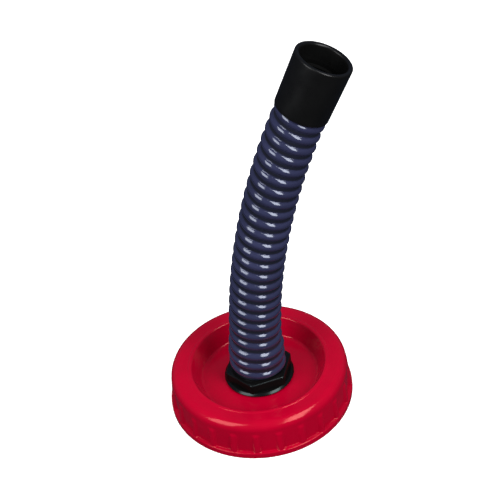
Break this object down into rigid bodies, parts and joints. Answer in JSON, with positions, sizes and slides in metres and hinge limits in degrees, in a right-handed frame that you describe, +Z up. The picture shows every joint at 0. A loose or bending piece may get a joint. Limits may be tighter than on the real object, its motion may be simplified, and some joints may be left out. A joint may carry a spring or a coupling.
{
  "type": "flexible pouring spout",
  "caption": "Flexible pouring spout: a ribbed hose stands up out of the dished lid of a wide ribbed screw cap and ends in a plain cuff. The hose bends and sways.",
  "frame": {"origin": "on the cap's axis, in the plane of the cap's bottom rim", "axes": "+Z up the cap's axis, out of the container; +X within 9 degrees of the side that the hose leans to; the part stands on the XY plane"},
  "size_m": [0.1282, 0.11, 0.2437],
  "materials": {
    "cap": "glossy red moulded polypropylene",
    "seal": "dull grey nitrile",
    "fitting": "glossy black moulded nylon",
    "hose_wall": "smooth dark slate soft PVC",
    "hose_helix": "glossy dark slate stiff PVC",
    "cuff": "satin black soft PVC"
  },
  "bodies": {
    "cap": {"screw_cap": "cap", "neck_seal": "seal", "fitting_gasket": "seal", "hose_fitting": "fitting", "locknut_washer": "seal", "locknut": "fitting", "hose_wall_00": "hose_wall", "hose_helix_00": "hose_helix"},
    "section_01": {"hose_wall_01": "hose_wall", "hose_helix_01": "hose_helix"},
    "section_02": {"hose_wall_02": "hose_wall", "hose_helix_02": "hose_helix"},
    "section_03": {"hose_wall_03": "hose_wall", "hose_helix_03": "hose_helix"},
    "section_04": {"hose_wall_04": "hose_wall", "hose_helix_04": "hose_helix"},
    "section_05": {"hose_wall_05": "hose_wall", "hose_helix_05": "hose_helix"},
    "section_06": {"hose_wall_06": "hose_wall", "hose_helix_06": "hose_helix"},
    "section_07": {"hose_wall_07": "hose_wall", "hose_helix_07": "hose_helix"},
    "section_08": {"hose_wall_08": "hose_wall", "hose_helix_08": "hose_helix"},
    "section_09": {"hose_wall_09": "hose_wall", "hose_helix_09": "hose_helix"},
    "section_10": {"hose_wall_10": "hose_wall", "hose_helix_10": "hose_helix", "end_cuff": "cuff"}
  },
  "joints": [
    {"name": "hose_lean_1", "type": "hinge", "parent": "cap", "child": "section_01", "pos_m": [0.001, 0.00016, 0.0511], "axis": [-0.1564, 0.9877, 0], "range_deg": [-8, 8], "stiffness_Nm_per_rad": 1.5, "deforming": ["hose_wall_00", "hose_wall_01"]},
    {"name": "hose_sway_1", "type": "hinge", "parent": "section_01", "child": "section_02", "pos_m": [0.00251, 0.0004, 0.0679], "axis": [0.9815, 0.1555, -0.1115], "range_deg": [-8, 8], "stiffness_Nm_per_rad": 1.5, "deforming": ["hose_wall_01", "hose_wall_02"]},
    {"name": "hose_lean_2", "type": "hinge", "parent": "section_02", "child": "section_03", "pos_m": [0.00471, 0.00075, 0.08463], "axis": [-0.1564, 0.9877, 0], "range_deg": [-8, 8], "stiffness_Nm_per_rad": 1.5, "deforming": ["hose_wall_02", "hose_wall_03"]},
    {"name": "hose_sway_2", "type": "hinge", "parent": "section_03", "child": "section_04", "pos_m": [0.0076, 0.0012, 0.10125], "axis": [0.9691, 0.1535, -0.1932], "range_deg": [-8, 8], "stiffness_Nm_per_rad": 1.5, "deforming": ["hose_wall_03", "hose_wall_04"]},
    {"name": "hose_lean_3", "type": "hinge", "parent": "section_04", "child": "section_05", "pos_m": [0.01115, 0.00177, 0.11773], "axis": [-0.1564, 0.9877, 0], "range_deg": [-8, 8], "stiffness_Nm_per_rad": 1.5, "deforming": ["hose_wall_04", "hose_wall_05"]},
    {"name": "hose_sway_3", "type": "hinge", "parent": "section_05", "child": "section_06", "pos_m": [0.01538, 0.00244, 0.13405], "axis": [0.95, 0.1505, -0.2737], "range_deg": [-8, 8], "stiffness_Nm_per_rad": 1.5, "deforming": ["hose_wall_05", "hose_wall_06"]},
    {"name": "hose_lean_4", "type": "hinge", "parent": "section_06", "child": "section_07", "pos_m": [0.02027, 0.00321, 0.15018], "axis": [-0.1564, 0.9877, 0], "range_deg": [-8, 8], "stiffness_Nm_per_rad": 1.5, "deforming": ["hose_wall_06", "hose_wall_07"]},
    {"name": "hose_sway_4", "type": "hinge", "parent": "section_07", "child": "section_08", "pos_m": [0.02582, 0.00409, 0.16609], "axis": [0.9244, 0.1464, -0.3522], "range_deg": [-8, 8], "stiffness_Nm_per_rad": 1.5, "deforming": ["hose_wall_07", "hose_wall_08"]},
    {"name": "hose_lean_5", "type": "hinge", "parent": "section_08", "child": "section_09", "pos_m": [0.03201, 0.00507, 0.18176], "axis": [-0.1564, 0.9877, 0], "range_deg": [-8, 8], "stiffness_Nm_per_rad": 1.5, "deforming": ["hose_wall_08", "hose_wall_09"]},
    {"name": "hose_sway_5", "type": "hinge", "parent": "section_09", "child": "section_10", "pos_m": [0.03884, 0.00615, 0.19715], "axis": [0.8925, 0.1414, -0.4283], "range_deg": [-8, 8], "stiffness_Nm_per_rad": 1.5, "deforming": ["hose_wall_09", "hose_wall_10"]}
  ],
  "couplings": [
    {"joint": "hose_lean_2", "follows": "hose_lean_1", "ratio": 1},
    {"joint": "hose_sway_2", "follows": "hose_sway_1", "ratio": 1},
    {"joint": "hose_lean_3", "follows": "hose_lean_1", "ratio": 1},
    {"joint": "hose_sway_3", "follows": "hose_sway_1", "ratio": 1},
    {"joint": "hose_lean_4", "follows": "hose_lean_1", "ratio": 1},
    {"joint": "hose_sway_4", "follows": "hose_sway_1", "ratio": 1},
    {"joint": "hose_lean_5", "follows": "hose_lean_1", "ratio": 1},
    {"joint": "hose_sway_5", "follows": "hose_sway_1", "ratio": 1}
  ]
}
